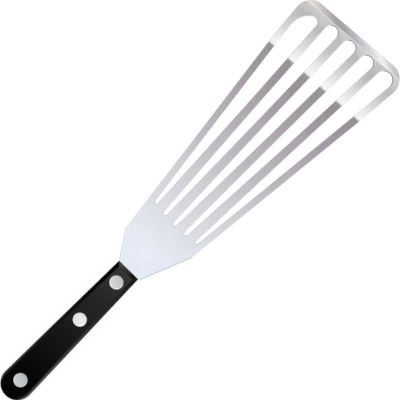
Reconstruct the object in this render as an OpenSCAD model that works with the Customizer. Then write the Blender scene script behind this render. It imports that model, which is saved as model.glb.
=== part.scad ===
// Fish spatula: a slotted sheet-steel blade whose full tang is riveted between two moulded scales.
// +X runs from the handle to the blade's front edge, +Y to the left of someone looking that way.
// The origin is the centre of the handle's flat underside, on the surface that the spatula lies on.

/* [Handle] */
// Length of the handle
handle_length = 103.5; // [95:0.5:120]
// Width of the handle at its square front end
handle_front_width = 15.8; // [14:0.1:18]
// Width of the handle at its round butt
handle_butt_width = 20.3; // [18:0.1:24]
// Thickness of each scale
scale_thickness = 6.4; // [5.5:0.1:8]
// Width of the flat chamfer along a scale's sides
side_chamfer = 2.4; // [1:0.1:3]
// Length of the bevel on a scale's front end
front_bevel = 2.1; // [1:0.1:3]
// Radius of the rounded edge at the butt, which the chamfers run out into
butt_edge_radius = 2.8; // [1:0.1:4]

/* [Rivets] */
// Distance from the handle's front end to the front rivet
front_rivet_setback = 10.2; // [9:0.1:12]
// Distance from the front rivet to the middle one
front_rivet_spacing = 30.7; // [24:0.1:34]
// Distance from the middle rivet to the rear one
rear_rivet_spacing = 49.9; // [42:0.1:53]
// Diameter of a rivet's head
head_diameter = 8.5; // [7:0.1:9.5]
// Thickness of a rivet's head
head_thickness = 1.6; // [1.2:0.1:2]
// Width of the broken edge round a head
head_edge = 0.25; // [0.1:0.05:0.4]
// Outer diameter of the sleeve's barrel
barrel_diameter = 5.6; // [5:0.1:6]
// Diameter of the pin's shank
shank_diameter = 3.6; // [3:0.1:4]
// Radial clearance of a rivet in its holes
rivet_clearance = 0.04; // [0.02:0.01:0.1]
// Gap left at the end of a pressed barrel or shank
press_gap = 0.5; // [0.3:0.1:0.8]

/* [Blade sheet] */
// Thickness of the steel sheet
sheet_thickness = 1.2; // [0.8:0.1:1.6]
// Distance from the handle's front end to the middle of the blade's front edge
blade_reach = 193.7; // [180:0.1:205]
// Turn of the front edge away from square
front_skew = 3.9; // [0:0.05:5]
// Distance from the handle to the left shoulder
left_shoulder_reach = 16.2; // [12:0.1:22]
// Distance of the left shoulder from the middle line
left_shoulder_offset = 18.6; // [17:0.1:21]
// Distance from the handle to the right shoulder
right_shoulder_reach = 31.2; // [26:0.1:34]
// Distance of the right shoulder from the middle line
right_shoulder_offset = 21.6; // [20:0.1:23]
// Distance of the left side from the middle line at the bend
left_bend_offset = 36; // [34:0.1:38]
// Distance of the right side from the middle line at the bend
right_bend_offset = 35.7; // [34:0.1:38]
// Distance of the left front corner from the middle line, before it is rounded
left_front_offset = 39; // [38:0.1:41]
// Distance of the right front corner from the middle line, before it is rounded
right_front_offset = 39.5; // [38:0.1:41]
// Distance of the neck's left edge from the middle line where it leaves the handle
left_neck_offset = 8.1; // [7.9:0.1:9]
// Distance of the neck's right edge from the middle line where it leaves the handle
right_neck_offset = 8.8; // [7.9:0.1:9.5]
// Radius of the left front corner
left_corner_radius = 9.8; // [8:0.1:12]
// Radius of the right front corner
right_corner_radius = 10.6; // [8:0.1:13]
// Radius of both shoulders
shoulder_radius = 2.2; // [1:0.1:4]

/* [Blade form] */
// Distance from the handle to where the flat neck starts to curve down
droop_start_reach = 20; // [14:0.5:26]
// Distance from the handle to the bend, where the blade touches the surface
bend_reach = 156.3; // [148:0.1:162]
// Turn of the bend line away from square
bend_skew = 2.9; // [0:0.05:4]
// Outside radius of the bend
bend_radius = 9; // [5:0.5:14]
// Slope of the blade just after the bend, in degrees
rise_angle = 8; // [5:0.5:11]
// Radius of the upward curve in front of the bend
front_curve_radius = 380; // [250:10:600]
// Width of the bevel ground on the front edge
ground_width = 4; // [3:0.1:4.8]
// Thickness left at the ground front edge
edge_thickness = 0.35; // [0.2:0.05:0.6]

/* [Slots and tines] */
// Number of tines, the two side tines included
tine_count = 6; // [5:1:6]
// Width of a side tine at its root
side_tine_root_width = 4.2; // [3.6:0.1:5]
// Width of the left side tine at the bend
left_tine_bend_width = 4.5; // [3.6:0.1:5]
// Width that the left side tine narrows to from the bend to the front edge
left_tine_front_width = 3.5; // [3:0.1:5]
// Width of the right side tine from the bend to the front edge
right_tine_width = 4.8; // [3.6:0.1:5]
// Width of an inner tine along its parallel stretch
tine_width = 5.1; // [4.4:0.1:5.6]
// Width of an inner tine at its root
tine_root_width = 6.2; // [5.8:0.1:6.9]
// Distance from the handle to where the inner tines stop narrowing
taper_end_reach = 118; // [110:0.5:140]
// Distance between neighbouring inner tines at the roots
root_pitch = 8.5; // [8.3:0.05:8.7]
// Distance between neighbouring inner tines at the bend
bend_pitch = 12.65; // [12:0.05:13]
// Sideways place of the fan of tines
fan_offset = -0.6; // [-1:0.1:1]
// Distance from the handle to the middle slot's root
slot_root_reach = 37.6; // [36:0.1:44]
// Radius of the arc that the slots' roots lie on
root_arc_radius = 92; // [70:1:150]
// Width of steel between the slots and the front edge
front_margin = 5.2; // [5:0.1:8]
// Extra width of steel in front of the left slot
left_slot_setback = 3.2; // [1:0.1:5]
// Length of the slanting front corner of the left slot
left_slot_slant_length = 6.3; // [5:0.1:9]
// Width of the slanting front corner of the left slot
left_slot_slant_width = 7.2; // [5:0.1:8]
// Radius where the slant leaves the left slot's side
left_slot_slant_radius = 13; // [4:0.5:15]

/* [Hidden] */

RIVETS = ["front", "middle", "rear"];
ROUND = 64;
overcut = 1;

// Handle and rivet places
handle_front_x = handle_length / 2;
butt_radius = handle_butt_width / 2;
butt_x = butt_radius - handle_length / 2;
tang_bottom = scale_thickness;
tang_top = tang_bottom + sheet_thickness;
handle_height = tang_top + scale_thickness;
front_rivet_x = handle_front_x - front_rivet_setback;
middle_rivet_x = front_rivet_x - front_rivet_spacing;
rivet_x = [front_rivet_x, middle_rivet_x, middle_rivet_x - rear_rivet_spacing];
head_radius = head_diameter / 2;
barrel_radius = barrel_diameter / 2;
shank_radius = shank_diameter / 2;

// Places along the blade, on its middle line
bend_x = handle_front_x + bend_reach;
front_x = handle_front_x + blade_reach;
taper_end_x = handle_front_x + taper_end_reach;
root_x = handle_front_x + slot_root_reach;
left_shoulder_x = handle_front_x + left_shoulder_reach;
right_shoulder_x = handle_front_x + right_shoulder_reach;

// Side view: arcs that meet with the same slope, from the flat neck down to the bend and up again
droop_x = handle_front_x + droop_start_reach;
droop_run = bend_x - droop_x;
droop_angle = 2 * atan(tang_bottom / droop_run);
droop_radius = droop_run / sin(droop_angle) - bend_radius;
front_curve_centre = [
    bend_x + (bend_radius - front_curve_radius) * sin(rise_angle),
    bend_radius - (bend_radius - front_curve_radius) * cos(rise_angle)
];

function unit(v) = v / norm(v);

function between(a, b, share) = a + (b - a) * share;

// Value on the straight line through [x0, y0] and [x1, y1]
function on_line(x, x0, y0, x1, y1) = between(y0, y1, (x - x0) / (x1 - x0));

// Half of the angle between two edges of an outline, at the corner where they meet
function half_angle(before, corner, after) = acos(unit(before - corner) * unit(after - corner)) / 2;

// Radius of the arc that rounds off the whole of the edge from a to b
function full_round(before, a, b, after) =
    norm(b - a) / (1 / tan(half_angle(before, a, b)) + 1 / tan(half_angle(a, b, after)));

// One rounded corner as the points of its arc
function corner_arc(before, corner, after, radius, steps) =
    let (
        to_before = unit(before - corner),
        to_after = unit(after - corner),
        half = half_angle(before, corner, after),
        centre = corner + unit(to_before + to_after) * radius / sin(half),
        first = corner + to_before * radius / tan(half) - centre,
        last = corner + to_after * radius / tan(half) - centre,
        start = atan2(first[1], first[0]),
        turn = atan2(first[0] * last[1] - first[1] * last[0], first * last)
    )
    [for (k = [0 : steps]) centre + radius * [cos(start + turn * k / steps), sin(start + turn * k / steps)]];

// A closed outline from corners [[x, y], radius], where radius 0 leaves a corner sharp
function rounded(corners, steps) = [
    for (i = [0 : len(corners) - 1])
        let (
            before = corners[(i + len(corners) - 1) % len(corners)][0],
            after = corners[(i + 1) % len(corners)][0],
            here = corners[i]
        )
        each (here[1] == 0 ? [here[0]] : corner_arc(before, here[0], after, here[1], steps))
];

// Side lines of the blade
function left_side(x) = x < bend_x
    ? on_line(x, left_shoulder_x, left_shoulder_offset, bend_x, left_bend_offset)
    : on_line(x, bend_x, left_bend_offset, front_x, left_front_offset);

function right_side(x) = x < bend_x
    ? on_line(x, right_shoulder_x, -right_shoulder_offset, bend_x, -right_bend_offset)
    : on_line(x, bend_x, -right_bend_offset, front_x, -right_front_offset);

// The front edge's place along the blade, at a distance y from the middle line
function front_edge_x(y) = front_x - y * tan(front_skew);

// Middle line and half width of inner tine i, counted from the left side tine, number 0
function tine_middle(i, x) =
    fan_offset + ((tine_count - 1) / 2 - i) * on_line(x, root_x, root_pitch, bend_x, bend_pitch);

function tine_half(x) =
    max(tine_width, on_line(x, root_x, tine_root_width, taper_end_x, tine_width)) / 2;

// Width of a side tine, which changes evenly from its root to the bend and from there to the front edge
function side_tine_width(x, bend_width, front_width) = x < bend_x
    ? on_line(x, root_x, side_tine_root_width, bend_x, bend_width)
    : on_line(x, bend_x, bend_width, front_x, front_width);

// The two edges of slot i, which lies between tine i and tine i + 1
function slot_left(i, x) = i == 0
    ? left_side(x) - side_tine_width(x, left_tine_bend_width, left_tine_front_width)
    : tine_middle(i, x) - tine_half(x);

function slot_right(i, x) = i == tine_count - 2
    ? right_side(x) + side_tine_width(x, right_tine_width, right_tine_width)
    : tine_middle(i + 1, x) + tine_half(x);

function slot_root_x(i) =
    let (y = (tine_count / 2 - 1 - i) * root_pitch)
    root_x + y * y / (2 * root_arc_radius);

function slot_front_x(i) =
    let (y = (slot_left(i, front_x) + slot_right(i, front_x)) / 2)
    front_edge_x(y) - front_margin - (i == 0 ? left_slot_setback : 0);

// Outline of slot i: its root and front are full rounds, and the left slot has a slanting corner
function slot_outline(i) =
    let (
        x0 = slot_root_x(i),
        x1 = slot_front_x(i),
        root_left = [x0, slot_left(i, x0)],
        taper_left = [taper_end_x, slot_left(i, taper_end_x)],
        bend_left = [bend_x, slot_left(i, bend_x)],
        front_left = [x1, slot_left(i, x1)],
        front_right = [x1, slot_right(i, x1)],
        bend_right = [bend_x, slot_right(i, bend_x)],
        taper_right = [taper_end_x, slot_right(i, taper_end_x)],
        root_right = [x0, slot_right(i, x0)],
        root_round = full_round(taper_left, root_left, root_right, taper_right),
        front_round = full_round(bend_left, front_left, front_right, bend_right),
        slant_low = [x1 - left_slot_slant_length, slot_left(i, x1 - left_slot_slant_length)],
        slant_high = [x1, front_left[1] - left_slot_slant_width],
        crest_round = full_round(slant_low, slant_high, front_right, bend_right)
    )
    rounded([
        [root_left, root_round],
        [taper_left, 0],
        [bend_left, 0],
        each (i == 0
            ? [[slant_low, left_slot_slant_radius], [slant_high, crest_round], [front_right, crest_round]]
            : [[front_left, front_round], [front_right, front_round]]),
        [bend_right, 0],
        [taper_right, 0],
        [root_right, root_round]
    ], steps = 8);

// Points of the tang's edge, from its right front end round the butt to its left front end.
// The sides are tangents of the butt's arc, so the tang is flush with the scales.
function tang_edge() =
    let (
        run = handle_front_x - butt_x,
        half_width = handle_front_width / 2,
        tangent_angle = atan2(half_width, run) + acos(butt_radius / norm([run, half_width])),
        steps = 20
    )
    [
        [handle_front_x, -half_width],
        for (k = [0 : steps])
            let (angle = between(360 - tangent_angle, tangent_angle, k / steps))
            [butt_x + butt_radius * cos(angle), butt_radius * sin(angle)],
        [handle_front_x, half_width]
    ];

// Points of the blade's edge in front of the handle, from the left of the neck to its right
function blade_edge() = rounded([
    [[handle_front_x, left_neck_offset], 0],
    [[left_shoulder_x, left_shoulder_offset], shoulder_radius],
    [[bend_x, left_bend_offset], 0],
    [[front_edge_x(left_front_offset), left_front_offset], left_corner_radius],
    [[front_edge_x(-right_front_offset), -right_front_offset], right_corner_radius],
    [[bend_x, -right_bend_offset], 0],
    [[right_shoulder_x, -right_shoulder_offset], shoulder_radius],
    [[handle_front_x, -right_neck_offset], 0]
], steps = 10);

// Stations along an arc of the sheet's underside, each its point [x, z] and its slope.
// The arc's start is left out, because it is the end of the stretch before. A crest has a negative radius.
function underside_arc(centre, radius, from, to, steps) = [
    for (k = [1 : steps])
        let (slope = between(from, to, k / steps))
        [centre + radius * [sin(slope), -cos(slope)], slope]
];

// The underside's slope in front of the bend, at a place along the blade
function front_slope(x) = asin((x - front_curve_centre[0]) / front_curve_radius);

function underside() = concat(
    [
        [[-handle_front_x - overcut, tang_bottom], 0],
        [[droop_x, tang_bottom], 0]
    ],
    underside_arc([droop_x, tang_bottom - droop_radius], -droop_radius, 0, -droop_angle, steps = 8),
    underside_arc([bend_x, bend_radius], bend_radius, -droop_angle, rise_angle, steps = 5),
    underside_arc(
        front_curve_centre, front_curve_radius, rise_angle,
        front_slope(front_edge_x(-right_front_offset) + overcut), steps = 6
    )
);

// The point of the sheet at a height above a station of its underside
function raised(station, height) = station[0] + height * [-sin(station[1]), cos(station[1])];

// The sheet seen from the side: its underside out, and its upper side back
module sheet_side_view() {
    stations = underside();
    last = len(stations) - 1;
    polygon(concat(
        [for (k = [0 : last]) stations[k][0]],
        [for (k = [0 : last]) raised(stations[last - k], sheet_thickness)]
    ));
}

// The bent sheet before it is cut to its outline
module bent_sheet() {
    width = 2 * (left_front_offset + right_front_offset);
    translate([bend_x, 0, 0])
        rotate([0, 0, bend_skew])
            translate([-bend_x, width / 2, 0])
                rotate([90, 0, 0])
                    linear_extrude(width)
                        sheet_side_view();
}

module blade_plan() {
    difference() {
        polygon(concat(blade_edge(), tang_edge()));
        for (i = [0 : tine_count - 2])
            polygon(slot_outline(i));
    }
}

// Station on the underside in front of the bend, at a place along the blade
function front_station(x) =
    let (slope = front_slope(x))
    [front_curve_centre + front_curve_radius * [sin(slope), -cos(slope)], slope];

// Steel that grinding takes off the top of the front edge
module ground_off() {
    heel = raised(front_station(front_x - ground_width), sheet_thickness);
    edge = raised(front_station(front_x), edge_thickness);
    grind_angle = atan2(edge[1] - heel[1], edge[0] - heel[0]);
    length = 4 * ground_width;
    width = 2 * (left_front_offset + right_front_offset);
    translate([front_x, 0, 0])
        rotate([0, 0, front_skew])
            translate([heel[0] - front_x, 0, heel[1]])
                rotate([0, -grind_angle, 0])
                    translate([-length / 2, -width / 2, 0])
                        cube([2 * length, width, length]);
}

module blade() {
    color([0.80, 0.80, 0.83])
        difference() {
            intersection() {
                translate([0, 0, -overcut])
                    linear_extrude(2 * handle_height)
                        blade_plan();
                bent_sheet();
            }
            ground_off();
            for (x = rivet_x)
                translate([x, 0, tang_bottom - overcut])
                    cylinder(r = barrel_radius + rivet_clearance, h = sheet_thickness + 2 * overcut, $fn = ROUND);
        }
}

// Flat disc with a rounded upper edge, for the butt end of a scale
module butt_disc() {
    edge = butt_edge_radius;
    steps = 6;
    rotate_extrude($fn = ROUND)
        polygon(concat(
            [[0, 0], [butt_radius, 0]],
            [for (k = [0 : steps])
                let (angle = 90 * k / steps)
                [butt_radius - edge + edge * cos(angle), scale_thickness - edge + edge * sin(angle)]],
            [[0, scale_thickness]]
        ));
}

// A scale with its flat side down: chamfered and bevelled in front, rounded at the butt
module scale_body() {
    sliver = 0.01;
    shoulder_height = scale_thickness - side_chamfer;
    hull() {
        translate([handle_front_x - sliver, -handle_front_width / 2, 0])
            cube([sliver, handle_front_width, shoulder_height]);
        translate([handle_front_x - front_bevel, side_chamfer - handle_front_width / 2, 0])
            cube([sliver, handle_front_width - 2 * side_chamfer, scale_thickness]);
        translate([butt_x, 0, 0])
            butt_disc();
    }
}

// Scale with its stepped rivet holes, flat side down
module scale_shell() {
    color([0.06, 0.06, 0.06])
        difference() {
            scale_body();
            for (x = rivet_x)
                translate([x, 0, 0]) {
                    translate([0, 0, -overcut])
                        cylinder(r = barrel_radius + rivet_clearance, h = scale_thickness + 2 * overcut, $fn = ROUND);
                    translate([0, 0, scale_thickness - head_thickness])
                        cylinder(r = head_radius + rivet_clearance, h = head_thickness + overcut, $fn = ROUND);
                }
        }
}

module upper_scale() {
    translate([0, 0, tang_top])
        scale_shell();
}

module lower_scale() {
    translate([0, 0, tang_bottom])
        mirror([0, 0, 1])
            scale_shell();
}

// Rivet head standing on z = 0, with a broken outer edge
module rivet_head() {
    rotate_extrude($fn = ROUND)
        polygon([
            [0, 0],
            [head_radius, 0],
            [head_radius, head_thickness - head_edge],
            [head_radius - head_edge, head_thickness],
            [0, head_thickness]
        ]);
}

// Half of the rivet with the upper head and a hollow barrel that reaches down to the lower head
module rivet_sleeve(x) {
    barrel_length = handle_height - 2 * head_thickness - press_gap;
    color([0.78, 0.78, 0.79])
        translate([x, 0, handle_height - head_thickness])
            difference() {
                union() {
                    rivet_head();
                    translate([0, 0, -barrel_length])
                        cylinder(r = barrel_radius, h = barrel_length, $fn = ROUND);
                }
                translate([0, 0, -barrel_length - overcut])
                    cylinder(r = shank_radius + rivet_clearance, h = barrel_length + overcut, $fn = ROUND);
            }
}

// Half of the rivet with the lower head and a solid shank that is pressed up into the barrel
module rivet_pin(x) {
    shank_length = handle_height - 2 * head_thickness - press_gap;
    color([0.72, 0.72, 0.74])
        translate([x, 0, head_thickness]) {
            mirror([0, 0, 1])
                rivet_head();
            cylinder(r = shank_radius, h = shank_length, $fn = ROUND);
        }
}

blade();
upper_scale();
lower_scale();
for (i = [0 : len(RIVETS) - 1]) {
    rivet_sleeve(rivet_x[i]);
    rivet_pin(rivet_x[i]);
}
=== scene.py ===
import math

import bmesh
import bpy
import numpy as np
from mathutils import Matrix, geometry


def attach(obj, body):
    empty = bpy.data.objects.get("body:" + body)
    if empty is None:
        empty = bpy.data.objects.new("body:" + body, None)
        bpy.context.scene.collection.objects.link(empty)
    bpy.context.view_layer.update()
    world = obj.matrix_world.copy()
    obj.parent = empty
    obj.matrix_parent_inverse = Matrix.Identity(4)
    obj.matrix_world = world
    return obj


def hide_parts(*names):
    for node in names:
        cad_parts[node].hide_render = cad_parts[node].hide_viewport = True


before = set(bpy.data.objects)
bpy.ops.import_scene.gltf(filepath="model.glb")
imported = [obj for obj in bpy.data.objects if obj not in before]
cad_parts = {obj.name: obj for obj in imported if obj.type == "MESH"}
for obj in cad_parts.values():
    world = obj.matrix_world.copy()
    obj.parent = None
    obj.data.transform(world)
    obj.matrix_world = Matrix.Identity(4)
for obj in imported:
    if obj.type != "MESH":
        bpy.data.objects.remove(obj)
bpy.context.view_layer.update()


# Blade and tang
# One sheet of stainless steel, stamped flat with its fan of slots, ground along its front edge and then pressed to
# shape. The full tang runs back between the scales, flush with their sides, and three holes take the rivets.
mm = 0.001  # all sizes are in millimetres: from the handle's middle forwards, to its left, and up from the table
sheet_thickness = 1.2
edge_thickness = 0.35
ground_width = 4.0
edge_roll = 0.3
burr_width = 0.25
heel_softness = 0.3
hole_radius = 2.84
rivet_x = [41.55, 10.85, -39.05]

handle_front_x = 51.75
handle_half_width = 7.9
neck_step = 0.4
butt_x = -41.6
butt_radius = 10.15
left_neck_offset = 8.1
right_neck_offset = 8.8
left_shoulder = (67.95, 18.6)
right_shoulder = (82.95, -21.6)
shoulder_radius = 2.2
bend_x = 208.05
left_bend_offset = 36.0
right_bend_offset = 35.7
front_x = 245.45
front_skew = math.radians(3.9)
left_front_offset = 39.0
right_front_offset = 39.5
left_corner_radius = 9.8
right_corner_radius = 10.6

tine_count = 6
side_tine_root_width = 4.2
left_tine_bend_width = 4.5
left_tine_front_width = 3.5
right_tine_width = 4.8
tine_width = 5.1
tine_root_width = 6.2
taper_end_x = handle_front_x + 118.0
root_x = handle_front_x + 37.6
root_pitch = 8.5
bend_pitch = 12.65
fan_offset = -0.6
root_arc_radius = 92.0
front_margin = 5.2
left_slot_setback = 3.2
slant_length = 6.3
slant_width = 7.2
slant_radius = 13.0

tang_bottom = 6.4
droop_x = 71.75
bend_skew = math.radians(2.9)
bend_radius = 9.0
rise_angle = math.radians(8)
front_curve_radius = 380.0
droop_angle = 2 * math.atan(tang_bottom / (bend_x - droop_x))
droop_radius = (bend_x - droop_x) / math.sin(droop_angle) - bend_radius
front_curve_x = bend_x + (bend_radius - front_curve_radius) * math.sin(rise_angle)
front_curve_z = bend_radius - (bend_radius - front_curve_radius) * math.cos(rise_angle)

# How finely the sheet is divided: the steps along its edges, and how close to them its inner points may lie
edge_step = 1.1
bend_edge_step = 0.3
bend_zone = 2.6
shortest_step = 0.02
corner_steps = 30
slot_steps = 18
butt_steps = 40
circle_steps = 48
mitre_limit = 0.7  # at a sharp corner a ring lies at most 1 / 0.7 times as far in as at a side
sheet_clearance = 0.38
heel_clearance = 0.3
heel_step = 0.8
heel_reach = 39.4
hold_width = 0.12


def unit(v):
    return v / np.linalg.norm(v)


def on_line(x, x0, y0, x1, y1):
    """Value at x on the straight line through two points."""
    return y0 + (y1 - y0) * (x - x0) / (x1 - x0)


def half_angle(before, corner, after):
    """Half of the angle between the two edges that meet at a corner."""
    return math.acos(np.clip(unit(before - corner) @ unit(after - corner), -1, 1)) / 2


def full_round(before, a, b, after):
    """Radius of the arc that rounds off the whole edge from a to b."""
    before, a, b, after = (np.array(p, float) for p in (before, a, b, after))
    at_a, at_b = half_angle(before, a, b), half_angle(a, b, after)
    return np.linalg.norm(b - a) / (1 / math.tan(at_a) + 1 / math.tan(at_b))


def rounded(corners, steps):
    """Closed outline from corners (x, y, radius), where radius 0 leaves a corner sharp."""
    places = np.array([corner[:2] for corner in corners], float)
    outline = []
    for i, (_, _, radius) in enumerate(corners):
        here, before, after = places[i], places[i - 1], places[(i + 1) % len(places)]
        if radius == 0:
            outline.append(here)
            continue
        half = half_angle(before, here, after)
        back, ahead = unit(before - here), unit(after - here)
        centre = here + unit(back + ahead) * radius / math.sin(half)
        first = here + back * radius / math.tan(half) - centre
        last = here + ahead * radius / math.tan(half) - centre
        start = math.atan2(first[1], first[0])
        turn = math.atan2(first[0] * last[1] - first[1] * last[0], first @ last)
        for k in range(steps + 1):
            angle = start + turn * k / steps
            outline.append(centre + radius * np.array([math.cos(angle), math.sin(angle)]))
    return np.array(outline)


def along_bend(points):
    """Distance of points of the blank along the blade, measured square to the skewed bend line."""
    return bend_x + (points[:, 0] - bend_x) * math.cos(bend_skew) + points[:, 1] * math.sin(bend_skew)


def from_front_edge(points):
    """Distance of points of the blank behind the ground front edge."""
    return (front_x - points[:, 0]) * math.cos(front_skew) - points[:, 1] * math.sin(front_skew)


def stepped(outline):
    """A closed outline with points added so that no step is long, and short steps across the bend."""
    kept = outline[np.linalg.norm(outline - np.roll(outline, 1, axis=0), axis=1) > shortest_step]
    for longest, everywhere in ((edge_step, True), (bend_edge_step, False)):
        made = []
        for a, b in zip(kept, np.roll(kept, -1, axis=0)):
            middle = along_bend(((a + b) / 2)[None])[0]
            length = np.linalg.norm(b - a)
            cuts = math.ceil(length / longest) if everywhere or abs(middle - bend_x) < bend_zone else 1
            made.extend(a + (b - a) * k / cuts for k in range(cuts))
        kept = np.array(made)
    return kept


def wound(outline, steel_inside):
    """The outline turned so that the material always lies on its left."""
    x, y = outline[:, 0], outline[:, 1]
    area = np.sum(x * np.roll(y, -1) - np.roll(x, -1) * y)
    return outline if (area > 0) == steel_inside else outline[::-1]


def inward(outline):
    """Direction from each point of an outline into the material, longer at corners so that sides stay parallel."""
    ahead = np.roll(outline, -1, axis=0) - outline
    ahead /= np.linalg.norm(ahead, axis=1)[:, None]
    left = np.stack([-ahead[:, 1], ahead[:, 0]], axis=1)
    both = left + np.roll(left, 1, axis=0)
    both /= np.linalg.norm(both, axis=1)[:, None]
    return both / np.clip(np.sum(both * left, axis=1), mitre_limit, 1)[:, None]


def inside(points, loops):
    """Which points lie on the material that the loops bound, by counting crossings."""
    odd = np.zeros(len(points), bool)
    for loop in loops:
        for (x0, y0), (x1, y1) in zip(loop, np.roll(loop, -1, axis=0)):
            if y0 == y1:
                continue
            spans = (points[:, 1] > min(y0, y1)) & (points[:, 1] <= max(y0, y1))
            odd ^= spans & (points[:, 0] < x0 + (points[:, 1] - y0) * (x1 - x0) / (y1 - y0))
    return odd


def well_inside(points, loops, clearance):
    """The points that lie on the material and keep clear of all points of its borders."""
    points = points[inside(points, loops)]
    borders = np.concatenate(loops)
    nearest = np.array([np.min(np.sum((borders - p) ** 2, axis=1)) for p in points])
    return points[nearest > clearance ** 2]


def filled(loops, extra, creases=()):
    """Triangles between the loops, through the extra points. Numbers count the loops' points first."""
    same_place = 1e-6
    twice_sliver_area = 1e-4
    points = np.concatenate([*loops, extra])
    edges = list(creases)
    start = 0
    for loop in loops:
        count = len(loop)
        edges += [(start + k, start + (k + 1) % count) for k in range(count)]
        start += count
    places = [tuple(p) for p in points]
    _, _, faces, origins, _, _ = geometry.delaunay_2d_cdt(places, edges, [], 0, same_place)
    triangles = np.array([[origins[v][0] for v in face] for face in faces if len(face) == 3])
    corners = points[triangles]
    # Along a straight edge the triangulation also gives slivers, which lie on the outline and fill nothing
    twice_area = np.abs(np.cross(corners[:, 1] - corners[:, 0], corners[:, 2] - corners[:, 0]))
    return triangles[(twice_area > twice_sliver_area) & inside(corners.mean(axis=1), loops)]


def strip(a, b, count):
    """Faces between two closed rows of count points, numbered from a and from b."""
    return [[a + k, a + (k + 1) % count, b + (k + 1) % count, b + k] for k in range(count)]


def left_side(x):
    if x < bend_x:
        return on_line(x, *left_shoulder, bend_x, left_bend_offset)
    return on_line(x, bend_x, left_bend_offset, front_x, left_front_offset)


def right_side(x):
    if x < bend_x:
        return on_line(x, *right_shoulder, bend_x, -right_bend_offset)
    return on_line(x, bend_x, -right_bend_offset, front_x, -right_front_offset)


def tine_middle(i, x):
    return fan_offset + ((tine_count - 1) / 2 - i) * on_line(x, root_x, root_pitch, bend_x, bend_pitch)


def tine_half(x):
    return max(tine_width, on_line(x, root_x, tine_root_width, taper_end_x, tine_width)) / 2


def side_tine_width(x, bend_width, front_width):
    if x < bend_x:
        return on_line(x, root_x, side_tine_root_width, bend_x, bend_width)
    return on_line(x, bend_x, bend_width, front_x, front_width)


def slot_left(i, x):
    if i == 0:
        return left_side(x) - side_tine_width(x, left_tine_bend_width, left_tine_front_width)
    return tine_middle(i, x) - tine_half(x)


def slot_right(i, x):
    if i == tine_count - 2:
        return right_side(x) + side_tine_width(x, right_tine_width, right_tine_width)
    return tine_middle(i + 1, x) + tine_half(x)


def slot_outline(i):
    """Outline of one slot: round at its root and in front, and slanting in front on the left slot."""
    aside = (tine_count / 2 - 1 - i) * root_pitch
    x0 = root_x + aside ** 2 / (2 * root_arc_radius)
    middle = (slot_left(i, front_x) + slot_right(i, front_x)) / 2
    x1 = front_x - middle * math.tan(front_skew) - front_margin - (left_slot_setback if i == 0 else 0)
    left = [(x, slot_left(i, x)) for x in (x0, taper_end_x, bend_x, x1)]
    right = [(x, slot_right(i, x)) for x in (x0, taper_end_x, bend_x, x1)]
    root_round = full_round(left[1], left[0], right[0], right[1])
    if i == 0:
        low = (x1 - slant_length, slot_left(i, x1 - slant_length))
        high = (x1, left[3][1] - slant_width)
        crest = full_round(low, high, right[3], right[2])
        front = [(*low, slant_radius), (*high, crest), (*right[3], crest)]
    else:
        front_round = full_round(left[2], left[3], right[3], right[2])
        front = [(*left[3], front_round), (*right[3], front_round)]
    return rounded([
        (*left[0], root_round), (*left[1], 0), (*left[2], 0), *front,
        (*right[2], 0), (*right[1], 0), (*right[0], root_round),
    ], slot_steps)


def butt_arc():
    """Points of the round butt, from where the right side meets it to where the left side does."""
    run = handle_front_x - butt_x
    tangent = math.atan2(handle_half_width, run) + math.acos(butt_radius / math.hypot(run, handle_half_width))
    angles = np.linspace(2 * math.pi - tangent, tangent, butt_steps + 1)
    return np.stack([butt_x + butt_radius * np.cos(angles), butt_radius * np.sin(angles)], axis=1)


def circle(x, radius):
    angles = np.arange(circle_steps) * 2 * math.pi / circle_steps
    return np.stack([x + radius * np.cos(angles), radius * np.sin(angles)], axis=1)


blade_corners = [
    (handle_front_x, left_neck_offset, 0),
    (*left_shoulder, shoulder_radius),
    (bend_x, left_bend_offset, 0),
    (front_x - left_front_offset * math.tan(front_skew), left_front_offset, left_corner_radius),
    (front_x + right_front_offset * math.tan(front_skew), -right_front_offset, right_corner_radius),
    (bend_x, -right_bend_offset, 0),
    (*right_shoulder, shoulder_radius),
    (handle_front_x, -right_neck_offset, 0),
]
# Just inside the scales' front the neck steps in to the tang
tang_right, tang_left = ([[handle_front_x - neck_step, side * handle_half_width]] for side in (-1, 1))
outer = np.concatenate([rounded(blade_corners, corner_steps), tang_right, butt_arc(), tang_left])
blank_loops = [wound(stepped(outer), True)]
blank_loops += [wound(stepped(slot_outline(i)), False) for i in range(tine_count - 1)]
blank_loops += [wound(circle(x, hole_radius), False) for x in rivet_x]

# Rows of points across the sheet, parallel to the bend line and close together where it curves most. Each band of
# rows has its start and end along the blade, the step between rows, and the step along a row.
row_bands = [
    (-50, droop_x, 3.0, 3.0), (droop_x, bend_x - 2.2, 2.0, 2.0), (bend_x - 1.8, bend_x + 2.3, 0.3, 0.55),
    (bend_x + 3.0, front_x + 4.0, 1.0, 1.0),
]
row_reach = 45
sheet_points = []
for start, end, row_step, point_step in row_bands:
    across = np.arange(-row_reach, row_reach, point_step)
    for u in np.arange(start, end, row_step):
        sheet_points.extend(np.stack([
            bend_x + (u - bend_x) * math.cos(bend_skew) - across * math.sin(bend_skew),
            (u - bend_x) * math.sin(bend_skew) + across * math.cos(bend_skew),
        ], axis=1))
sheet_points = np.array(sheet_points)


def sheet_height(points):
    """Height of the sheet's upper face above its underside, less where the front edge is ground."""
    slope = (sheet_thickness - edge_thickness) / ground_width
    return np.minimum(sheet_thickness, edge_thickness + slope * np.maximum(from_front_edge(points), 0))


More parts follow.
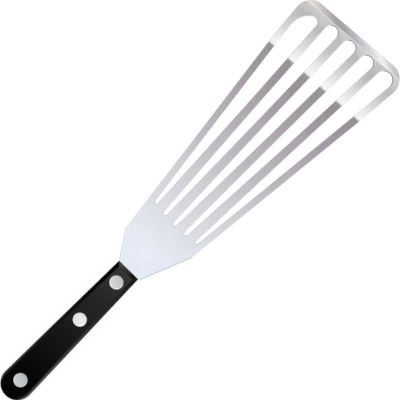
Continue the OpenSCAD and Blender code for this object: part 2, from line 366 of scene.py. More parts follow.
# The edge rolls over at both faces: rings from the cut wall on to the flat, and one more ring to hold the flat.
# Where the punch left the sheet last, at the front of the inner slots, it pulled a wider burr, and its rolled edge is
# painted dark as shade.
roll_angles = np.radians([0, 30, 60, 90])
roll_limit = 0.42  # share of the sheet's height, so that both faces have room for their rolled edges
burr_direction = np.array([0.96, -0.28])
burr_start = 0.35  # how far an edge has to face that way before it shows a burr
burr_fade = 0.4
rings, ring_drops, burrs = [], [], []
for n, loop in enumerate(blank_loops):
    into = inward(loop)
    inner_slot = 2 <= n < tine_count
    facing = np.maximum(into @ burr_direction, 0.0) if inner_slot else np.zeros(len(loop))
    burr = np.clip((facing - burr_start) / burr_fade, 0.0, 1.0) * (loop[:, 0] > bend_x)
    roll = np.minimum(edge_roll + burr_width * burr, roll_limit * sheet_height(loop))
    insets = [into * roll[:, None] * (1 - math.cos(a)) for a in roll_angles] + [into * (roll[:, None] + hold_width)]
    rings.append([loop + inset for inset in insets])
    ring_drops.append([roll * (1 - math.sin(a)) for a in roll_angles] + [0 * roll])
    burrs.append(burr)
flat_loops = [levels[-1] for levels in rings]

# The heel of the ground bevel is a crease right across the sheet, softened by a row of points on each side
heel_across = np.arange(-heel_reach, heel_reach, heel_step)
heel_x = front_x - ground_width / math.cos(front_skew) - heel_across * math.tan(front_skew)
heel = well_inside(np.stack([heel_x, heel_across], axis=1), flat_loops, heel_clearance)
to_edge = np.array([math.cos(front_skew), math.sin(front_skew)])
heel_rows = [heel + side * heel_softness * to_edge for side in (-1, 1)]
usable = well_inside(sheet_points, flat_loops, sheet_clearance)
usable = usable[np.abs(from_front_edge(usable) - ground_width) > heel_softness + heel_clearance]
extra = np.concatenate([heel, *heel_rows, usable])
flat_points = np.concatenate([*flat_loops, extra])
first_heel = len(flat_points) - len(extra)
creases = [(first_heel + k, first_heel + k + 1) for k in range(len(heel) - 1)]
triangles = filled(flat_loops, extra, creases)

vertices, ring_start, extra_start = [], {}, {}
for side in ("top", "bottom"):
    for n, levels in enumerate(rings):
        for m, (level, drop) in enumerate(zip(levels, ring_drops[n])):
            ring_start[side, n, m] = len(vertices)
            height = sheet_height(level) - drop if side == "top" else drop
            vertices.extend(np.column_stack([level, height]))
for side in ("top", "bottom"):
    extra_start[side] = len(vertices)
    height = sheet_height(extra) if side == "top" else np.zeros(len(extra))
    vertices.extend(np.column_stack([extra, height]))

faces, cut_and_shaded_faces, ground_faces = [], [], []
last_ring = len(roll_angles)
on_bevel = from_front_edge(flat_points[triangles].mean(axis=1)) < ground_width
for side in ("top", "bottom"):
    numbers = []
    for n, loop in enumerate(flat_loops):
        numbers += range(ring_start[side, n, last_ring], ring_start[side, n, last_ring] + len(loop))
    numbers += range(extra_start[side], extra_start[side] + len(extra))
    for triangle, bevel in zip(triangles, on_bevel):
        face = [numbers[v] for v in triangle]
        faces.append(face if side == "top" else face[::-1])
        ground_faces.append(side == "top" and bevel)
        cut_and_shaded_faces.append(False)
ring_strips = [("top", m, "top", m + 1) for m in range(last_ring)]
ring_strips += [("bottom", m + 1, "bottom", m) for m in range(last_ring)] + [("bottom", 0, "top", 0)]
burr_shade_start = 0.1
for n, loop in enumerate(blank_loops):
    behind = from_front_edge(rings[n][0])
    # The rolled edge is painted dark like the sheared wall, as shade, where it has a burr and along the right edge of
    # the neck
    neck = (n == 0) & (loop[:, 0] > handle_front_x) & (loop[:, 0] < right_shoulder[0]) & (loop[:, 1] < 0)
    shade_painted = (burrs[n] > burr_shade_start) | neck
    for side_a, m_a, side_b, m_b in ring_strips:
        faces += strip(ring_start[side_a, n, m_a], ring_start[side_b, n, m_b], len(loop))
        wall = m_a == m_b
        top_flat = side_a == "top" and m_b == last_ring
        top_roll = side_a == "top" and not top_flat
        ground_faces += [n == 0 and top_flat and distance < ground_width for distance in behind]
        cut_and_shaded_faces += [wall or top_roll and mark for mark in shade_painted]


def placed(name, data):
    """A new object of the scene."""
    made = bpy.data.objects.new(name, data)
    bpy.context.scene.collection.objects.link(made)
    return made


blade_mesh = bpy.data.meshes.new("slotted_blade")
blade_mesh.from_pydata((np.array(vertices) * mm).tolist(), [], faces)
blade_mesh.shade_smooth()
for name, marks in (("ground", ground_faces), ("sheared_and_shaded", cut_and_shaded_faces)):
    blade_mesh.attributes.new(name, "BOOLEAN", "FACE").data.foreach_set("value", [bool(mark) for mark in marks])
blade = placed("slotted_blade", blade_mesh)


def add_sockets(tree, way, kind, *names):
    for name in names:
        tree.interface.new_socket(name, in_out=way, socket_type="NodeSocket" + kind)


def node_of(tree, kind, *terms, **settings):
    """A node of a tree. Its terms fill its inputs in order: values, or outputs of other nodes; None is skipped."""
    node = tree.nodes.new(kind)
    for name, value in settings.items():
        setattr(node, name, value)
    for socket, term in zip(node.inputs, terms):
        if isinstance(term, bpy.types.NodeSocket):
            tree.links.new(term, socket)
        elif term is not None:
            socket.default_value = term
    return node


def calc(tree, operation, *terms):
    """The result of one math node."""
    return node_of(tree, "ShaderNodeMath", *terms, operation=operation).outputs[0]


# The press that bends the flat blank: each point keeps its place in plan and takes its height from the arcs
press = bpy.data.node_groups.new("press_forming", "GeometryNodeTree")
press_sizes = {
    "Tang height": tang_bottom * mm, "Droop start": droop_x * mm, "Droop radius": droop_radius * mm,
    "Droop angle": droop_angle, "Bend place": bend_x * mm, "Bend skew": bend_skew, "Bend radius": bend_radius * mm,
    "Rise angle": rise_angle, "Front curve radius": front_curve_radius * mm,
    "Front curve place": front_curve_x * mm, "Front curve height": front_curve_z * mm,
}
add_sockets(press, "INPUT", "Geometry", "Blank")
add_sockets(press, "INPUT", "Float", *press_sizes)
add_sockets(press, "INPUT", "Material", "Sheet", "Ground bevel", "Sheared edge and shade")
add_sockets(press, "OUTPUT", "Geometry", "Blade")
given = press.nodes.new("NodeGroupInput").outputs
position = node_of(press, "GeometryNodeInputPosition").outputs[0]
place = node_of(press, "ShaderNodeSeparateXYZ", position).outputs
past_bend = calc(press, "SUBTRACT", place["X"], given["Bend place"])
ahead = calc(press, "MULTIPLY", past_bend, calc(press, "COSINE", given["Bend skew"]))
aside = calc(press, "MULTIPLY", place["Y"], calc(press, "SINE", given["Bend skew"]))
from_bend = calc(press, "ADD", ahead, aside)
u = calc(press, "ADD", from_bend, given["Bend place"])


def arc_height(middle_height, radius, along, side):
    """Height on an arc of the side view, above its centre for side 1 and below it for side -1."""
    square = calc(press, "SUBTRACT", calc(press, "MULTIPLY", radius, radius), calc(press, "MULTIPLY", along, along))
    rise = calc(press, "SQRT", calc(press, "MAXIMUM", square, 0.0))
    return calc(press, "ADD" if side > 0 else "SUBTRACT", middle_height, rise)


flat_height = calc(press, "ADD", given["Tang height"], place["Z"])
droop_arc = calc(press, "ADD", given["Droop radius"], place["Z"])
bend_arc = calc(press, "SUBTRACT", given["Bend radius"], place["Z"])
front_arc = calc(press, "SUBTRACT", given["Front curve radius"], place["Z"])
into_droop = calc(press, "SUBTRACT", u, given["Droop start"])
into_front = calc(press, "SUBTRACT", u, given["Front curve place"])
droop_middle = calc(press, "SUBTRACT", given["Tang height"], given["Droop radius"])
droop_height = arc_height(droop_middle, droop_arc, into_droop, 1)
bend_height = arc_height(given["Bend radius"], bend_arc, from_bend, -1)
front_height = arc_height(given["Front curve height"], front_arc, into_front, -1)
droop_end = calc(press, "MULTIPLY", droop_arc, calc(press, "SINE", given["Droop angle"]))
bend_end = calc(press, "MULTIPLY", bend_arc, calc(press, "SINE", given["Rise angle"]))
height = flat_height
for distance, start, next_height in (
    (into_droop, 0.0, droop_height), (into_droop, droop_end, bend_height), (from_bend, bend_end, front_height),
):
    past = calc(press, "GREATER_THAN", distance, start)
    height = node_of(press, "GeometryNodeSwitch", past, height, next_height, input_type="FLOAT").outputs[0]
formed = node_of(press, "ShaderNodeCombineXYZ", place["X"], place["Y"], height).outputs[0]
shape = node_of(press, "GeometryNodeSetPosition", given["Blank"], None, formed).outputs[0]
shape = node_of(press, "GeometryNodeRealizeInstances", shape).outputs[0]
shape = node_of(press, "GeometryNodeSetMaterial", shape, None, given["Sheet"]).outputs[0]
for name, material in (("ground", "Ground bevel"), ("sheared_and_shaded", "Sheared edge and shade")):
    marked = node_of(press, "GeometryNodeInputNamedAttribute", name, data_type="BOOLEAN").outputs["Attribute"]
    shape = node_of(press, "GeometryNodeSetMaterial", shape, marked, given[material]).outputs[0]
node_of(press, "NodeGroupOutput", shape)


# Shader groups that more than one finish uses: polishing lines, with their length and width in millimetres, and the
# marks of handling, with the size of a smudge in millimetres
def shader_group(name, inputs, outputs):
    group = bpy.data.node_groups.new(name, "ShaderNodeTree")
    add_sockets(group, "INPUT", "Float", *inputs)
    add_sockets(group, "OUTPUT", "Float", *outputs)
    for item in group.interface.items_tree:
        if item.in_out == "INPUT":
            item.default_value = inputs[item.name]
    return group


grain = shader_group("polishing_grain", {"Length": 40.0, "Width": 0.25, "Turn": 0.0}, ["Shade", "Height"])
given = grain.nodes.new("NodeGroupInput").outputs
place = node_of(grain, "ShaderNodeTexCoord").outputs["Object"]
turn = node_of(grain, "ShaderNodeCombineXYZ", 0.0, 0.0, given["Turn"]).outputs[0]
turned = node_of(grain, "ShaderNodeMapping", place, None, turn).outputs[0]
fine = calc(grain, "DIVIDE", 1 / mm, given["Width"])
long = calc(grain, "DIVIDE", 1 / mm, given["Length"])
stretch = node_of(grain, "ShaderNodeCombineXYZ", long, fine, fine).outputs[0]
stretched = node_of(grain, "ShaderNodeVectorMath", turned, stretch, operation="MULTIPLY").outputs[0]
line_scale, line_detail = 1.0, 3.0
lines = node_of(grain, "ShaderNodeTexNoise", stretched, None, line_scale, line_detail).outputs[0]
node_of(grain, "NodeGroupOutput", lines, lines)

wear = shader_group("handling_marks", {"Size": 9.0}, ["Smudge", "Speck"])
given = wear.nodes.new("NodeGroupInput").outputs
place = node_of(wear, "ShaderNodeTexCoord").outputs["Object"]
clouds = []
for divisor, detail in ((1.0, 2.0), (24.0, 4.0)):
    scale = calc(wear, "DIVIDE", 1 / mm, calc(wear, "DIVIDE", given["Size"], divisor))
    clouds.append(node_of(wear, "ShaderNodeTexNoise", place, None, scale, detail).outputs[0])
node_of(wear, "NodeGroupOutput", *clouds)


def ramp(tree, factor, stops):
    """Colour ramp over a factor, from stops (place, colour)."""
    node = node_of(tree, "ShaderNodeValToRGB", factor)
    elements = node.color_ramp.elements
    while len(elements) < len(stops):
        elements.new(1.0)
    for element, (where, colour) in zip(elements, stops):
        element.position = where
        element.color = (*colour, 1.0)
    return node.outputs[0]


def greys(*stops):
    """Stops of a ramp from pairs of place and grey level."""
    return [(where, (level,) * 3) for where, level in stops]


def ranged(tree, value, low, high, to_low=0.0, to_high=1.0):
    """A value carried over from one range to another, and held at its ends."""
    return node_of(tree, "ShaderNodeMapRange", value, low, high, to_low, to_high).outputs[0]


def spread(tree, noise, to_low, to_high):
    """Noise, most of which lies between 0.3 and 0.7, spread over a range."""
    return ranged(tree, noise, 0.3, 0.7, to_low, to_high)


def new_finish(name):
    material = bpy.data.materials.new(name)
    material.use_nodes = True
    return material, material.node_tree


def add_relief(tree, height, strength):
    """Fine relief of the surface, up to a hundredth of a millimetre deep."""
    bump = node_of(tree, "ShaderNodeBump", strength, 0.01 * mm)
    tree.links.new(height, bump.inputs["Height"])
    tree.links.new(bump.outputs[0], tree.nodes["Principled BSDF"].inputs["Normal"])


def steel(name, direction, span, stops, roughness, grain_sizes, relief=0.15):
    """Stainless steel whose tint, with any light and shade painted into it, runs in one direction and whose polishing
    lines (length, width and turn) show in tint, gloss and relief."""
    darkest_line = 0.965
    line_gloss = 0.03
    smudge_gloss = (-0.015, 0.02)
    material, tree = new_finish(name)
    shader = tree.nodes["Principled BSDF"]
    shader.inputs["Metallic"].default_value = 1.0
    place = node_of(tree, "ShaderNodeTexCoord").outputs["Object"]
    along = node_of(tree, "ShaderNodeVectorMath", place, direction, operation="DOT_PRODUCT").outputs["Value"]
    colour = ramp(tree, ranged(tree, along, span[0] * mm, span[1] * mm), stops)
    lines = node_of(tree, "ShaderNodeGroup", *grain_sizes, node_tree=grain).outputs
    marks = node_of(tree, "ShaderNodeGroup", node_tree=wear).outputs
    shade = spread(tree, lines["Shade"], darkest_line, 1.0)
    shaded = node_of(tree, "ShaderNodeVectorMath", colour, None, None, shade, operation="SCALE").outputs[0]
    tree.links.new(shaded, shader.inputs["Base Color"])
    from_lines = spread(tree, lines["Shade"], roughness - line_gloss, roughness + line_gloss)
    from_marks = spread(tree, marks["Smudge"], *smudge_gloss)
    tree.links.new(calc(tree, "ADD", from_lines, from_marks), shader.inputs["Roughness"])
    add_relief(tree, lines["Height"], relief)
    return material


# Along the bend a band of highlight and shade is painted into the tint: the tint at distances in millimetres from the
# bend line
bend_painted_light = [
    (-2.3, (0.93, 0.88, 0.935)), (-1.1, (1.0, 0.985, 1.0)), (-0.5, (0.88, 0.85, 0.88)),
    (0.0, (0.72, 0.71, 0.72)), (0.5, (0.84, 0.835, 0.84)), (1.1, (0.99, 0.99, 0.99)), (2.0, (1.0, 1.0, 1.0)),
    (3.5, (0.97, 0.97, 0.97)),
]
blade_length = front_x - handle_front_x
bend_share = (bend_x * math.cos(bend_skew) - handle_front_x) / blade_length
# The sheet's own cool tint along the blade, with painted reflection light and shade laid over it
sheet_tint_and_painted_light = [
    (0.0, (0.87, 0.90, 0.99)), (0.10, (0.87, 0.90, 0.99)), (0.125, (0.87, 0.895, 0.95)),
    (0.20, (0.86, 0.875, 0.94)), (0.215, (0.875, 0.865, 0.92)), (0.37, (0.91, 0.90, 0.95)),
    (0.48, (0.90, 0.885, 0.94)), (0.60, (0.95, 0.885, 0.955)),
    *[(bend_share + distance / blade_length, colour) for distance, colour in bend_painted_light],
    (0.86, (0.92, 0.92, 0.92)), (0.94, (0.90, 0.90, 0.90)), (0.96, (1.0, 1.0, 1.0)),
]
# The ground bevel's colour is a painted reflection: a bright glint and darker stretches along the edge
bevel_painted_reflection = [
    (0.10, (0.50, 0.50, 0.50)), (0.176, (0.63, 0.63, 0.63)), (0.294, (1.0, 1.0, 1.0)),
    (0.40, (0.735, 0.73, 0.765)), (0.53, (0.53, 0.52, 0.555)), (0.65, (0.425, 0.40, 0.43)),
    (0.71, (0.43, 0.405, 0.43)), (0.80, (0.575, 0.55, 0.56)), (0.94, (0.90, 0.84, 0.80)),
]
# The sheared wall's own dull dark grey, which is also painted as shade on the rolled edge at burrs and along the neck
cut_and_shade_colours = [(0.0, (0.30, 0.30, 0.31)), (1.0, (0.28, 0.28, 0.29))]
# The bevel's painted reflection leans: it shifts sideways by bevel_lean millimetres for each millimetre back from the
# edge
bevel_lean = 1.9
lengthwise = (math.cos(bend_skew), math.sin(bend_skew), 0.0)
across_bevel = (-bevel_lean * math.cos(front_skew), 1 - bevel_lean * math.sin(front_skew), 0.0)
bevel_middle = -bevel_lean * front_x * math.cos(front_skew)
bevel_span = (bevel_middle - 40, bevel_middle + 45)
crosswise = math.radians(90)
sheet_steel = steel("satin_sheet", lengthwise, (handle_front_x, front_x), sheet_tint_and_painted_light, 0.16, (60.0, 0.3, 0.0))
bevel_steel = steel("ground_bevel", across_bevel, bevel_span, bevel_painted_reflection, 0.15, (6.0, 0.15, crosswise))
cut_and_shade_steel = steel("sheared_edge_and_shade", lengthwise, (0, 250), cut_and_shade_colours, 0.32, (3.0, 0.5, crosswise))


def work(piece, tree, values):
    """Runs a node tree over a piece, with values for its named inputs, and makes the result the piece's own mesh."""
    tool = piece.modifiers.new(tree.name, "NODES")
    tool.node_group = tree
    sockets = {item.name: item.identifier for item in tree.interface.items_tree if item.in_out == "INPUT"}
    for name, value in values.items():
        tool[sockets[name]] = value
    evaluated = piece.evaluated_get(bpy.context.evaluated_depsgraph_get())
    mesh = bpy.data.meshes.new_from_object(evaluated)
    piece.modifiers.clear()
    piece.data = mesh


work(blade, press, press_sizes | {"Sheet": sheet_steel, "Ground bevel": bevel_steel, "Sheared edge and shade": cut_and_shade_steel})
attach(blade, "root")
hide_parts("blade")


# Handle scales
# Two mouldings of black acetal, one on each side of the tang. Their sides are chamfered and their front ends
# bevelled with mitred corners, and the chamfers run out into the round edge of the butt.
scale_thickness = 6.4
tang_top = tang_bottom + sheet_thickness
side_chamfer = 2.4
front_bevel = 2.1
corner_softness = 0.3
butt_edge_radius = 2.8
head_radius = 4.25
head_thickness = 1.6
head_clearance = 0.1
head_countersink = 0.12
seat_softness = 0.035
seat_radius = head_radius + head_clearance
mouth_radius = seat_radius + head_countersink

# How finely the scales are divided
arc_steps = 5
mitre_end = 3.2
side_steps = 44
butt_ring_steps = 60
front_steps = 13
foot_height = 0.25
face_margin = 0.3
mouth_margin = 0.25
inner_clearance = 0.9
face_grid = np.array([(x, y) for x in np.arange(-50, 52, 2.5) for y in np.arange(-8, 8.1, 2.0)])
crease_angle = math.radians(50)


def edge_profile(share):
    """Inset and drop of each point of a scale's edge, from its side to its face: chamfer at 0, round edge at 1."""
    # An arc between flats that meet at 45 degrees reaches 0.414 of its radius along each, which leaves 0.586 of it
    reach, rest = 0.414, 0.586
    radius = corner_softness + (butt_edge_radius - corner_softness) * share
    chamfer = side_chamfer + reach * corner_softness * (1 - share)
    chamfer += (rest * butt_edge_radius - side_chamfer) * share
    slant = max(chamfer - rest * radius, 0.0)
    whole = radius + slant
    profile = []
    for stretch in (0, 1):
        for k in range(arc_steps + 1):
            angle = math.radians(45 * (stretch + k / arc_steps))
            inset = radius * (1 - math.cos(angle)) + slant * stretch
            drop = whole - radius * math.sin(angle) - slant * stretch
            profile.append((inset, drop))
    return profile


side_start, side_end = np.array([handle_front_x, handle_half_width]), butt_arc()[-1]
side_run = unit(side_end - side_start)
side_out = np.array([side_run[1], -side_run[0]])
side_length = np.linalg.norm(side_end - side_start)
side_distances = np.concatenate([[0.0], np.linspace(mitre_end, side_length, side_steps)])
butt_turn = math.atan2(side_out[1], side_out[0])
butt_angles = np.linspace(butt_turn, 2 * math.pi - butt_turn, butt_ring_steps + 1)[1:-1]


def scale_ring(m):
    """One closed ring round a scale through point m of its edge, from its front left corner round the butt."""
    left = []
    for distance in side_distances:
        inset, drop = edge_profile(distance / side_length)[m]
        along = max(distance, inset * front_bevel / side_chamfer)
        x, y = side_start + side_run * along - side_out * inset
        left.append((x, y, scale_thickness - drop))
    inset, drop = edge_profile(1.0)[m]
    reach, z = butt_radius - inset, scale_thickness - drop
    butt = [(butt_x + reach * math.cos(a), reach * math.sin(a), z) for a in butt_angles]
    right = [(x, -y, z) for x, y, z in reversed(left)]
    x, y, z = left[0]
    front = [(x, across, z) for across in np.linspace(-y, y, front_steps + 1)[1:-1]]
    return np.array(left + butt + right + front)


def at_height(outline, z):
    return np.column_stack([outline, np.full(len(outline), z)])


def crease(shape):
    """Turns the faces outwards and keeps sharp the edges that turn by more than the crease angle."""
    bmesh.ops.recalc_face_normals(shape, faces=shape.faces)
    for edge in shape.edges:
        edge.smooth = len(edge.link_faces) != 2 or edge.calc_face_angle() < crease_angle


def scale_mesh(name, face_up):
    """One scale, made from its face on the tang up to its outer face, and turned over for the lower one."""
    plan = scale_ring(0)[:, :2]
    stack = [at_height(plan, 0.0), at_height(plan, foot_height)]
    stack += [scale_ring(m) for m in range(2 * (arc_steps + 1))]
    face_edge = stack[-1][:, :2]
    stack.append(at_height(face_edge + inward(face_edge) * face_margin, stack[-1][0][2]))
    hole_profile = [
        (mouth_radius + mouth_margin, scale_thickness), (mouth_radius, scale_thickness),
        (seat_radius + seat_softness, scale_thickness - seat_softness),
        (seat_radius, scale_thickness - head_countersink), (seat_radius, scale_thickness - head_thickness),
        (hole_radius, scale_thickness - head_thickness), (hole_radius, 0.0),
    ]
    verts, made, starts = [], [], []
    size = len(plan)
    for level in stack:
        starts.append(len(verts))
        verts.extend(level)
    for a, b in zip(starts, starts[1:]):
        made += strip(a, b, size)
    hole_starts = []
    for x in rivet_x:
        hole_starts.append([len(verts) + circle_steps * k for k in range(len(hole_profile))])
        for radius, z in hole_profile:
            verts.extend(at_height(circle(x, radius)[::-1], z))
        for a, b in zip(hole_starts[-1], hole_starts[-1][1:]):
            made += strip(b, a, circle_steps)
    # The two flat faces: the outer one between the last ring and the holes' mouths, and the one on the tang
    for row, hole_row, up in ((-1, 0, True), (0, -1, False)):
        hole_edge = hole_profile[hole_row][0]
        loops = [stack[row][:, :2]] + [circle(x, hole_edge)[::-1] for x in rivet_x]
        inner = well_inside(face_grid, loops, inner_clearance)
        numbers = list(range(starts[row], starts[row] + size))
        for places in hole_starts:
            numbers += range(places[hole_row], places[hole_row] + circle_steps)
        numbers += range(len(verts), len(verts) + len(inner))
        verts.extend(at_height(inner, stack[row][0][2]))
        for triangle in filled(loops, inner):
            face = [numbers[v] for v in triangle]
            made.append(face if up else face[::-1])
    verts = np.array(verts, float)
    verts[:, 2] = tang_top + verts[:, 2] if face_up else tang_bottom - verts[:, 2]
    mesh = bpy.data.meshes.new(name)
    mesh.from_pydata((verts * mm).tolist(), [], [face if face_up else face[::-1] for face in made])
    mesh.shade_smooth()
    shape = bmesh.new()
    shape.from_mesh(mesh)
    bmesh.ops.remove_doubles(shape, verts=shape.verts, dist=0.001 * mm)
    crease(shape)
    shape.to_mesh(mesh)
    shape.free()
    return mesh


acetal, tree = new_finish("moulded_acetal")
shader = tree.nodes["Principled BSDF"]
shader.inputs["Specular IOR Level"].default_value = 0.0
shader.inputs["Coat Roughness"].default_value = 0.16
shader.inputs["Coat IOR"].default_value = 1.6
place = node_of(tree, "ShaderNodeTexCoord").outputs["Object"]
place = node_of(tree, "ShaderNodeSeparateXYZ", place).outputs
facing = node_of(tree, "ShaderNodeNewGeometry").outputs["Normal"]
facing = node_of(tree, "ShaderNodeSeparateXYZ", facing).outputs
marks = node_of(tree, "ShaderNodeGroup", node_tree=wear).outputs
base_colours = [(0.0, (0.0006, 0.0006, 0.0007)), (1.0, (0.0016, 0.0016, 0.0018))]
tree.links.new(ramp(tree, spread(tree, marks["Speck"], 0.0, 1.0), base_colours), shader.inputs["Base Color"])
tree.links.new(spread(tree, marks["Speck"], 0.45, 0.6), shader.inputs["Roughness"])
# The moulding's gloss, as the strength of its coat, is painted sheen that stands in for where light falls. On its face
# it is glossy in front and dulls towards the butt, on its chamfers it is the other way round and less on the left, and
# on its front bevel it is glossy on the left.
from_butt = ranged(tree, place["X"], -50 * mm, handle_front_x * mm)
face_painted_sheen = ramp(tree, from_butt, greys(
    (0.0, 0.005), (0.17, 0.025), (0.32, 0.07), (0.49, 0.175), (0.66, 0.305), (0.8, 0.43), (0.88, 0.59), (1.0, 0.72),
))
chamfer_painted_sheen = ramp(tree, from_butt, greys(
    (0.0, 0.0), (0.015, 0.05), (0.035, 0.75), (0.07, 1.0), (0.2, 1.0), (0.41, 0.7), (0.65, 0.42), (1.0, 0.13),
))
on_left = ranged(tree, place["X"], -48.0 * mm, 48.0 * mm, 0.65, 0.0)
sideways = ranged(tree, place["Y"], -4.0 * mm, 4.0 * mm, 1.0, on_left)
chamfer_painted_sheen = calc(tree, "MULTIPLY", chamfer_painted_sheen, sideways)
bevel_painted_sheen = ranged(tree, place["Y"], -4.0 * mm, 5.0 * mm, 0.09, 0.85)
on_chamfer = ranged(tree, calc(tree, "ABSOLUTE", facing["Z"]), 0.94, 0.84)
on_bevel = ranged(tree, facing["X"], 0.45, 0.6)
painted_sheen = node_of(tree, "ShaderNodeMix", on_chamfer, None, face_painted_sheen, chamfer_painted_sheen).outputs[0]
painted_sheen = node_of(tree, "ShaderNodeMix", on_bevel, None, painted_sheen, bevel_painted_sheen).outputs[0]
sheen_with_smudges = calc(tree, "MULTIPLY", painted_sheen, spread(tree, marks["Smudge"], 0.92, 1.0))
tree.links.new(sheen_with_smudges, shader.inputs["Coat Weight"])
add_relief(tree, marks["Speck"], 0.1)

for name, node, face_up in (("upper_grip", "upper_scale", True), ("lower_grip", "lower_scale", False)):
    scale = placed(name, scale_mesh(name, face_up))
    scale.data.materials.append(acetal)
    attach(scale, "root")
    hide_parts(node)


# Rivets
# Three two-piece cutlery rivets of stainless steel. A solid pin is pressed up from below into a hollow sleeve, and
# their flat heads lie flush in the scales, each with a broken edge on which a bright highlight is painted.
handle_height = tang_top + scale_thickness
press_gap = 0.5
barrel_radius = 2.8
shank_radius = 1.8
bore_radius = shank_radius + 0.04
stem_end = -head_thickness - (handle_height - 2 * head_thickness - press_gap)
# Half sections from the axis outwards, as radius and height: the head is slightly crowned, and its edge is round
head_outline = [
    (0.0, 0.0), (1.4, -0.004), (2.8, -0.016), (3.6, -0.03), (4.0, -0.045), (4.08, -0.07), (4.15, -0.12),
    (4.2, -0.19), (4.22, -0.3), (4.22, -0.7), (4.22, -head_thickness),
]
sleeve_outline = head_outline + [
    (barrel_radius, -head_thickness), (barrel_radius, stem_end), (bore_radius, stem_end),
    (bore_radius, -head_thickness), (0.0, -head_thickness),
]
pin_outline = head_outline + [(shank_radius, -head_thickness), (shank_radius, stem_end), (0.0, stem_end)]

riveting = bpy.data.node_groups.new("riveting", "GeometryNodeTree")
rivet_places = ("Front place", "Middle place", "Rear place")
add_sockets(riveting, "INPUT", "Geometry", "Half section")
add_sockets(riveting, "INPUT", "Vector", *rivet_places)
add_sockets(riveting, "INPUT", "Int", "Turns")
add_sockets(riveting, "INPUT", "Material", "Steel")
add_sockets(riveting, "OUTPUT", "Geometry", "Rivets")
given = riveting.nodes.new("NodeGroupInput").outputs
spots = node_of(riveting, "GeometryNodeJoinGeometry")
for name in rivet_places:
    riveting.links.new(node_of(riveting, "GeometryNodePoints", 1, given[name]).outputs[0], spots.inputs[0])
# The half section is turned about the upright axis: copies of it side by side, joined to a skin by a grid
section_size = node_of(riveting, "GeometryNodeAttributeDomainSize", given["Half section"]).outputs["Point Count"]
grid = node_of(riveting, "GeometryNodeMeshGrid", 1.0, 1.0, section_size, given["Turns"]).outputs[0]
number = node_of(riveting, "GeometryNodeInputIndex").outputs[0]
# Half a step is added, so that rounding can't give a point to the row before its own
row = calc(riveting, "FLOOR", calc(riveting, "DIVIDE", calc(riveting, "ADD", number, 0.5), given["Turns"]))
column = calc(riveting, "SUBTRACT", number, calc(riveting, "MULTIPLY", row, given["Turns"]))
last_column = calc(riveting, "SUBTRACT", given["Turns"], 1.0)
angle = calc(riveting, "MULTIPLY", calc(riveting, "DIVIDE", column, last_column), 2 * math.pi)
position = node_of(riveting, "GeometryNodeInputPosition").outputs[0]
section_point = node_of(riveting, "GeometryNodeSampleIndex", given["Half section"], position, row,
                        data_type="FLOAT_VECTOR").outputs[0]
section_place = node_of(riveting, "ShaderNodeSeparateXYZ", section_point).outputs
x = calc(riveting, "MULTIPLY", section_place["X"], calc(riveting, "COSINE", angle))
y = calc(riveting, "MULTIPLY", section_place["X"], calc(riveting, "SINE", angle))
skin_place = node_of(riveting, "ShaderNodeCombineXYZ", x, y, section_place["Z"]).outputs[0]
skin = node_of(riveting, "GeometryNodeSetPosition", grid, None, skin_place).outputs[0]
skin = node_of(riveting, "GeometryNodeMergeByDistance", skin, None, 0.001 * mm).outputs[0]
rivets = node_of(riveting, "GeometryNodeInstanceOnPoints", spots.outputs[0], None, skin).outputs[0]
rivets = node_of(riveting, "GeometryNodeRealizeInstances", rivets).outputs[0]
rivets = node_of(riveting, "GeometryNodeSetMaterial", rivets, None, given["Steel"]).outputs[0]
node_of(riveting, "NodeGroupOutput", rivets)

# Each head is painted with its own light and shade, which runs from one side to the other
rivet_painted_light = [
    (0.10, (0.68, 0.69, 0.71)), (0.22, (0.53, 0.56, 0.58)), (0.545, (0.79, 0.83, 0.84)),
    (0.565, (0.86, 0.90, 0.91)), (0.582, (0.89, 0.925, 0.935)), (0.60, (0.965, 0.995, 1.0)),
    *greys((0.65, 1.0), (0.72, 1.0), (0.80, 0.88), (0.87, 0.745), (0.93, 0.67)),
]
rim_highlight_colours = [
    (0.10, (0.84, 0.84, 0.86)), (0.22, (0.74, 0.74, 0.76)), *greys((0.5, 0.96), (0.6, 1.0), (0.80, 1.0), (0.93, 0.92)),
]
across_heads = (0.70, -0.71, 0.0)
heads_span = (-39, 39)
slanting = math.radians(45)
rivet_steel = steel("rivet_steel", across_heads, heads_span, rivet_painted_light, 0.26, (8.0, 0.2, slanting), 0.06)
rim_steel = steel("rim_painted_highlight", across_heads, heads_span, rim_highlight_colours, 0.26, (3.0, 0.2, slanting), 0.06)
rim_start = 3.6
rim_depth = 0.5
turns = 65

for name, outline, nodes, top in (
    ("rivet_sleeves", sleeve_outline, ("front_sleeve", "middle_sleeve", "rear_sleeve"), True),
    ("rivet_pins", pin_outline, ("front_pin", "middle_pin", "rear_pin"), False),
):
    way, face_height = (1, handle_height) if top else (-1, 0.0)
    section = bpy.data.meshes.new(name)
    section.from_pydata([(r * mm, 0.0, way * z * mm) for r, z in outline],
                        [(k, k + 1) for k in range(len(outline) - 1)], [])
    piece = placed(name, section)
    places = {label: (x * mm, 0.0, face_height * mm) for label, x in zip(rivet_places, rivet_x)}
    work(piece, riveting, places | {"Turns": turns, "Steel": rivet_steel})
    piece.data.materials.clear()
    for finish in (rivet_steel, rim_steel):
        piece.data.materials.append(finish)
    shape = bmesh.new()
    shape.from_mesh(piece.data)
    for face in shape.faces:
        face.smooth = True
        middle = face.calc_center_median() / mm
        from_axis = min(math.hypot(middle.x - x, middle.y) for x in rivet_x)
        near_face = abs(middle.z - handle_height / 2) > handle_height / 2 - rim_depth
        # The round edge near each head takes the rim finish, which is painted brighter as a highlight
        face.material_index = 1 if from_axis > rim_start and near_face else 0
    crease(shape)
    shape.to_mesh(piece.data)
    shape.free()
    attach(piece, "root")
    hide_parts(*nodes)


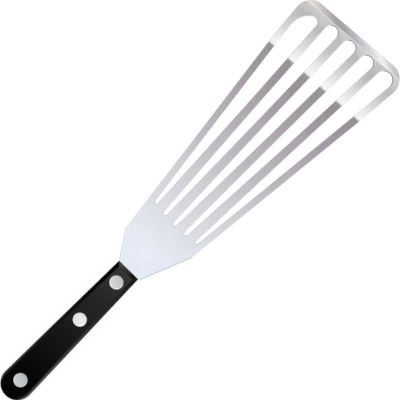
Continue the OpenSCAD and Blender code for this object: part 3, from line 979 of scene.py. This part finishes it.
# Floor, light and camera
# A plain white table under an even white dome. Seen in the steel, the dome is brightest overhead, has a soft darker
# panel in front and behind, and is darker low down on one side, as a studio is with its panels set up.
floor_reach = 6.0
floor_height = -0.00005
floor_mesh = bpy.data.meshes.new("floor")
floor_corners = [(x * floor_reach, y * floor_reach, floor_height) for x, y in ((-1, -1), (1, -1), (1, 1), (-1, 1))]
floor_mesh.from_pydata(floor_corners, [], [(0, 1, 2, 3)])
floor = placed("floor", floor_mesh)
# The paper glows by itself for the camera and in reflections, so that it shows white, and is clear from below
paper, tree = new_finish("white_paper")
tree.nodes.clear()
paper_glow = 0.86
white = (1.0, 1.0, 1.0, 1.0)
rays = node_of(tree, "ShaderNodeLightPath").outputs
seen = calc(tree, "MAXIMUM", rays["Is Camera Ray"], rays["Is Glossy Ray"])
seen = calc(tree, "MAXIMUM", seen, rays["Is Transmission Ray"])
glow = node_of(tree, "ShaderNodeEmission", white, calc(tree, "MULTIPLY", seen, paper_glow)).outputs[0]
tone = ramp(tree, seen, greys((0.0, 0.8), (1.0, 0.2)))
surface = node_of(tree, "ShaderNodeBsdfDiffuse", tone).outputs[0]
lit = node_of(tree, "ShaderNodeAddShader", surface, glow).outputs[0]
clear = node_of(tree, "ShaderNodeBsdfTransparent").outputs[0]
below = node_of(tree, "ShaderNodeNewGeometry").outputs["Backfacing"]
node_of(tree, "ShaderNodeOutputMaterial", node_of(tree, "ShaderNodeMixShader", below, lit, clear).outputs[0])
floor.data.materials.append(paper)


def colour_mix(tree, factor, first, second):
    """A mix of two colours, which are inputs 6 and 7 of the Mix node, and its output 2."""
    return node_of(tree, "ShaderNodeMix", factor, *[None] * 5, first, second, data_type="RGBA").outputs[2]


world = bpy.data.worlds.new("studio")
bpy.context.scene.world = world
world.use_nodes = True
tree = world.node_tree
tree.nodes.clear()
direction = node_of(tree, "ShaderNodeTexCoord").outputs["Generated"]
toward = node_of(tree, "ShaderNodeSeparateXYZ", direction).outputs
lean = calc(tree, "ARCTAN2", toward["X"], toward["Z"])
widest_lean = math.radians(40)
overhead = ramp(tree, ranged(tree, lean, -widest_lean, widest_lean), greys(
    (0.0, 1.0), (0.1625, 1.0), (0.1875, 0.78), (0.2075, 0.26), (0.231, 0.38), (0.2625, 0.6), (0.294, 1.0), (0.5, 1.0),
    (0.535, 0.78), (0.56, 0.6), (0.6, 0.46), (0.64, 0.25), (0.71, 0.24), (0.81, 0.6), (1.0, 0.8),
))
bright_side = (0.9, -0.43, 0.0)
sunward = node_of(tree, "ShaderNodeVectorMath", direction, bright_side, operation="DOT_PRODUCT").outputs["Value"]
low_down = ramp(tree, ranged(tree, sunward, -1.0, 1.0), greys(
    (0.0, 0.02), (0.12, 0.08), (0.28, 0.35), (0.5, 0.75), (0.72, 0.9), (0.95, 0.95),
))
high_up = ranged(tree, toward["Z"], 0.55, 0.85)
panels = colour_mix(tree, high_up, low_down, overhead)
rays = node_of(tree, "ShaderNodeLightPath").outputs
dome = colour_mix(tree, rays["Is Glossy Ray"], white, panels)
node_of(tree, "ShaderNodeOutputWorld", node_of(tree, "ShaderNodeBackground", dome, 1.0).outputs[0])

# A long lens from straight above, turned so that the handle points to the lower left as in the photograph
lens = bpy.data.cameras.new("camera")
lens.sensor_width = 36.0
lens.lens = 610.2
lens.clip_end = 50.0
view_middle = (110.70, -1.09)
camera_height = 4.006
camera_turn = math.radians(-45.5)
camera = placed("camera", lens)
camera.location = (view_middle[0] * mm, view_middle[1] * mm, camera_height)
camera.rotation_euler = (0.0, 0.0, camera_turn)
bpy.context.scene.camera = camera
bpy.context.scene.view_settings.view_transform = "Standard"
